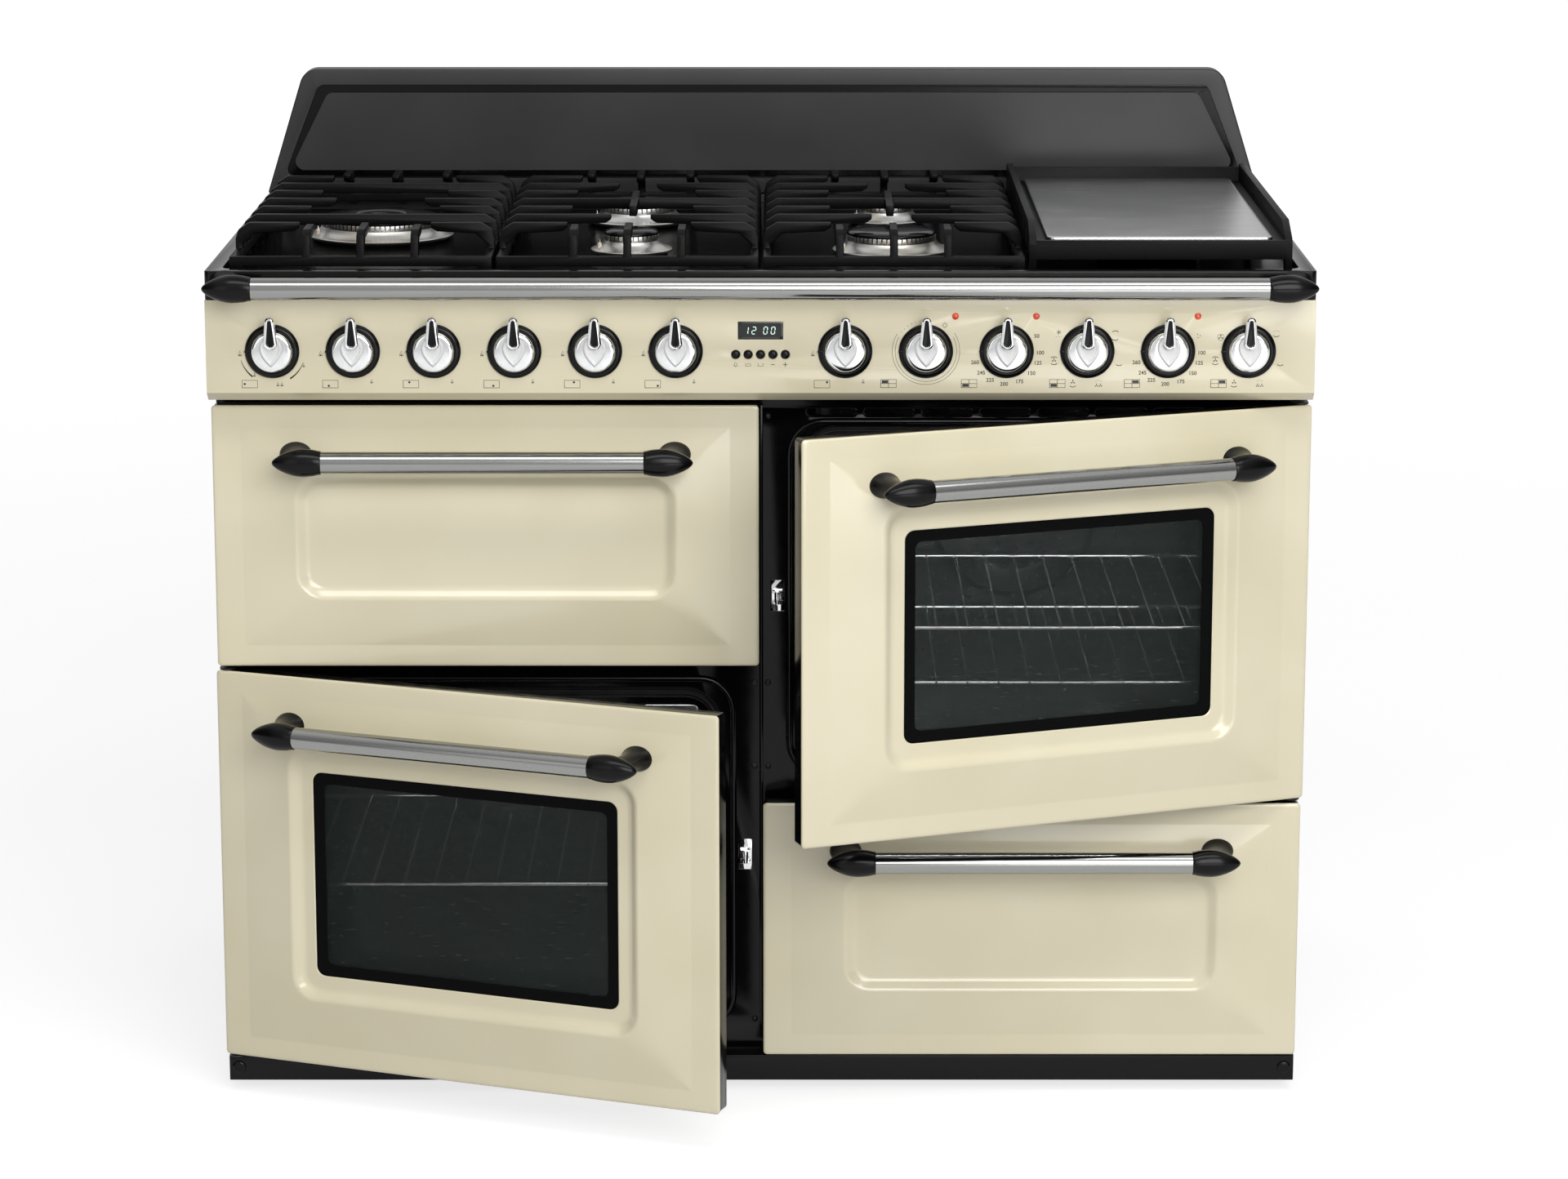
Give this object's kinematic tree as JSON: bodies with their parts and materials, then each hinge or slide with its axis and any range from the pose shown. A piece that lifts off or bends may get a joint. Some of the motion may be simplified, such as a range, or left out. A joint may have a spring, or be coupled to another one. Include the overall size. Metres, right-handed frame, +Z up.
{
  "type": "range cooker",
  "caption": "Wide free-standing range cooker with a gas hob, griddle, two side-hinged ovens standing ajar, a drop-down grill door and a storage drawer.",
  "frame": {"origin": "on the floor, under the middle of the cabinet", "axes": "+X to the cooker's right hand side seen from the front, +Y to the wall, +Z up"},
  "size_m": [1.1032, 0.8414, 1],
  "materials": {
    "cream_enamel": "gloss cream enamel",
    "black_enamel": "gloss black enamel",
    "grey_enamel": "satin anthracite enamel",
    "galvanised": "galvanised sheet",
    "stainless": "brushed stainless steel",
    "black_gloss": "gloss black moulding",
    "chrome": "polished chrome",
    "cast_iron": "matt black enamelled cast iron",
    "aluminium": "cast aluminium",
    "seal": "black silicone",
    "door_glass": "tinted heat-proof glass",
    "lens": "dark display window",
    "orange_lens": "orange pilot lens",
    "brass": "plain brass",
    "dark_steel": "dark coated steel"
  },
  "bodies": {
    "cabinet": {"base_frame": "black_enamel", "levelling_feet": "dark_steel", "side_panels": "grey_enamel", "back_panel": "galvanised", "front_frame": "black_enamel", "oven_cavities": "black_enamel", "oven_door_seals": "seal", "door_catches": "chrome", "hinge_brackets": "dark_steel", "hob_tray": "black_enamel", "backguard": "grey_enamel", "control_panel": "cream_enamel", "handrail_bar": "stainless", "handrail_ends": "black_gloss", "clock_display": "lens", "pilot_lamps": "orange_lens", "knob_rings": "black_gloss", "gas_manifold": "brass", "pan_supports": "cast_iron", "griddle_frame": "cast_iron", "griddle_plate": "stainless", "burner_bodies": "aluminium", "burner_caps": "black_enamel", "oven_racks": "chrome", "oven_linings": "dark_steel"},
    "left_oven_door": {"left_oven_door_panel": "cream_enamel", "left_oven_door_frame": "black_enamel", "left_oven_door_glass": "door_glass", "left_oven_handle_bar": "stainless", "left_oven_handle_ends": "black_gloss"},
    "right_oven_door": {"right_oven_door_panel": "cream_enamel", "right_oven_door_frame": "black_enamel", "right_oven_door_glass": "door_glass", "right_oven_handle_bar": "stainless", "right_oven_handle_ends": "black_gloss"},
    "grill_door": {"grill_door_panel": "cream_enamel", "grill_door_frame": "black_enamel", "grill_handle_bar": "stainless", "grill_handle_ends": "black_gloss"},
    "drawer": {"drawer_front": "cream_enamel", "drawer_box": "black_enamel", "drawer_handle_bar": "stainless", "drawer_handle_ends": "black_gloss"},
    "knob_1": {"knob_1": "chrome"},
    "knob_2": {"knob_2": "chrome"},
    "knob_3": {"knob_3": "chrome"},
    "knob_4": {"knob_4": "chrome"},
    "knob_5": {"knob_5": "chrome"},
    "knob_6": {"knob_6": "chrome"},
    "knob_7": {"knob_7": "chrome"},
    "knob_8": {"knob_8": "chrome"},
    "knob_9": {"knob_9": "chrome"},
    "knob_10": {"knob_10": "chrome"},
    "knob_11": {"knob_11": "chrome"},
    "knob_12": {"knob_12": "chrome"},
    "button_1": {"button_1": "black_gloss"},
    "button_2": {"button_2": "black_gloss"},
    "button_3": {"button_3": "black_gloss"},
    "button_4": {"button_4": "black_gloss"},
    "button_5": {"button_5": "black_gloss"}
  },
  "joints": [
    {"name": "left_oven_door_hinge", "type": "hinge", "parent": "cabinet", "child": "left_oven_door", "pos_m": [-0.541, -0.291, 0.2455], "axis": [0, 0, -1], "range_deg": [-21, 74]},
    {"name": "right_oven_door_hinge", "type": "hinge", "parent": "cabinet", "child": "right_oven_door", "pos_m": [0.541, -0.291, 0.5185], "axis": [0, 0, 1], "range_deg": [-21, 74]},
    {"name": "grill_door_hinge", "type": "hinge", "parent": "cabinet", "child": "grill_door", "pos_m": [-0.276, -0.2925, 0.46], "axis": [1, 0, 0], "range_deg": [0, 80]},
    {"name": "drawer_slide", "type": "slide", "parent": "cabinet", "child": "drawer", "axis": [0, -1, 0], "range_m": [0, 0.36]},
    {"name": "knob_1_turn", "type": "hinge", "parent": "cabinet", "child": "knob_1", "pos_m": [-0.484, -0.33, 0.782], "axis": [0, -1, 0], "range_deg": [0, 240]},
    {"name": "knob_2_turn", "type": "hinge", "parent": "cabinet", "child": "knob_2", "pos_m": [-0.404, -0.33, 0.782], "axis": [0, -1, 0], "range_deg": [0, 240]},
    {"name": "knob_3_turn", "type": "hinge", "parent": "cabinet", "child": "knob_3", "pos_m": [-0.324, -0.33, 0.782], "axis": [0, -1, 0], "range_deg": [0, 240]},
    {"name": "knob_4_turn", "type": "hinge", "parent": "cabinet", "child": "knob_4", "pos_m": [-0.244, -0.33, 0.782], "axis": [0, -1, 0], "range_deg": [0, 240]},
    {"name": "knob_5_turn", "type": "hinge", "parent": "cabinet", "child": "knob_5", "pos_m": [-0.164, -0.33, 0.782], "axis": [0, -1, 0], "range_deg": [0, 240]},
    {"name": "knob_6_turn", "type": "hinge", "parent": "cabinet", "child": "knob_6", "pos_m": [-0.084, -0.33, 0.782], "axis": [0, -1, 0], "range_deg": [0, 240]},
    {"name": "knob_7_turn", "type": "hinge", "parent": "cabinet", "child": "knob_7", "pos_m": [0.084, -0.33, 0.782], "axis": [0, -1, 0], "range_deg": [0, 240]},
    {"name": "knob_8_turn", "type": "hinge", "parent": "cabinet", "child": "knob_8", "pos_m": [0.164, -0.33, 0.782], "axis": [0, -1, 0], "range_deg": [-270, 0]},
    {"name": "knob_9_turn", "type": "hinge", "parent": "cabinet", "child": "knob_9", "pos_m": [0.244, -0.33, 0.782], "axis": [0, -1, 0], "range_deg": [-250, 0]},
    {"name": "knob_10_turn", "type": "hinge", "parent": "cabinet", "child": "knob_10", "pos_m": [0.324, -0.33, 0.782], "axis": [0, -1, 0], "range_deg": [-300, 0]},
    {"name": "knob_11_turn", "type": "hinge", "parent": "cabinet", "child": "knob_11", "pos_m": [0.404, -0.33, 0.782], "axis": [0, -1, 0], "range_deg": [-250, 0]},
    {"name": "knob_12_turn", "type": "hinge", "parent": "cabinet", "child": "knob_12", "pos_m": [0.484, -0.33, 0.782], "axis": [0, -1, 0], "range_deg": [-300, 0]},
    {"name": "button_1_push", "type": "slide", "parent": "cabinet", "child": "button_1", "axis": [0, 1, 0], "range_m": [0, 0.0015], "stiffness_N_per_m": 300},
    {"name": "button_2_push", "type": "slide", "parent": "cabinet", "child": "button_2", "axis": [0, 1, 0], "range_m": [0, 0.0015], "stiffness_N_per_m": 300},
    {"name": "button_3_push", "type": "slide", "parent": "cabinet", "child": "button_3", "axis": [0, 1, 0], "range_m": [0, 0.0015], "stiffness_N_per_m": 300},
    {"name": "button_4_push", "type": "slide", "parent": "cabinet", "child": "button_4", "axis": [0, 1, 0], "range_m": [0, 0.0015], "stiffness_N_per_m": 300},
    {"name": "button_5_push", "type": "slide", "parent": "cabinet", "child": "button_5", "axis": [0, 1, 0], "range_m": [0, 0.0015], "stiffness_N_per_m": 300}
  ]
}
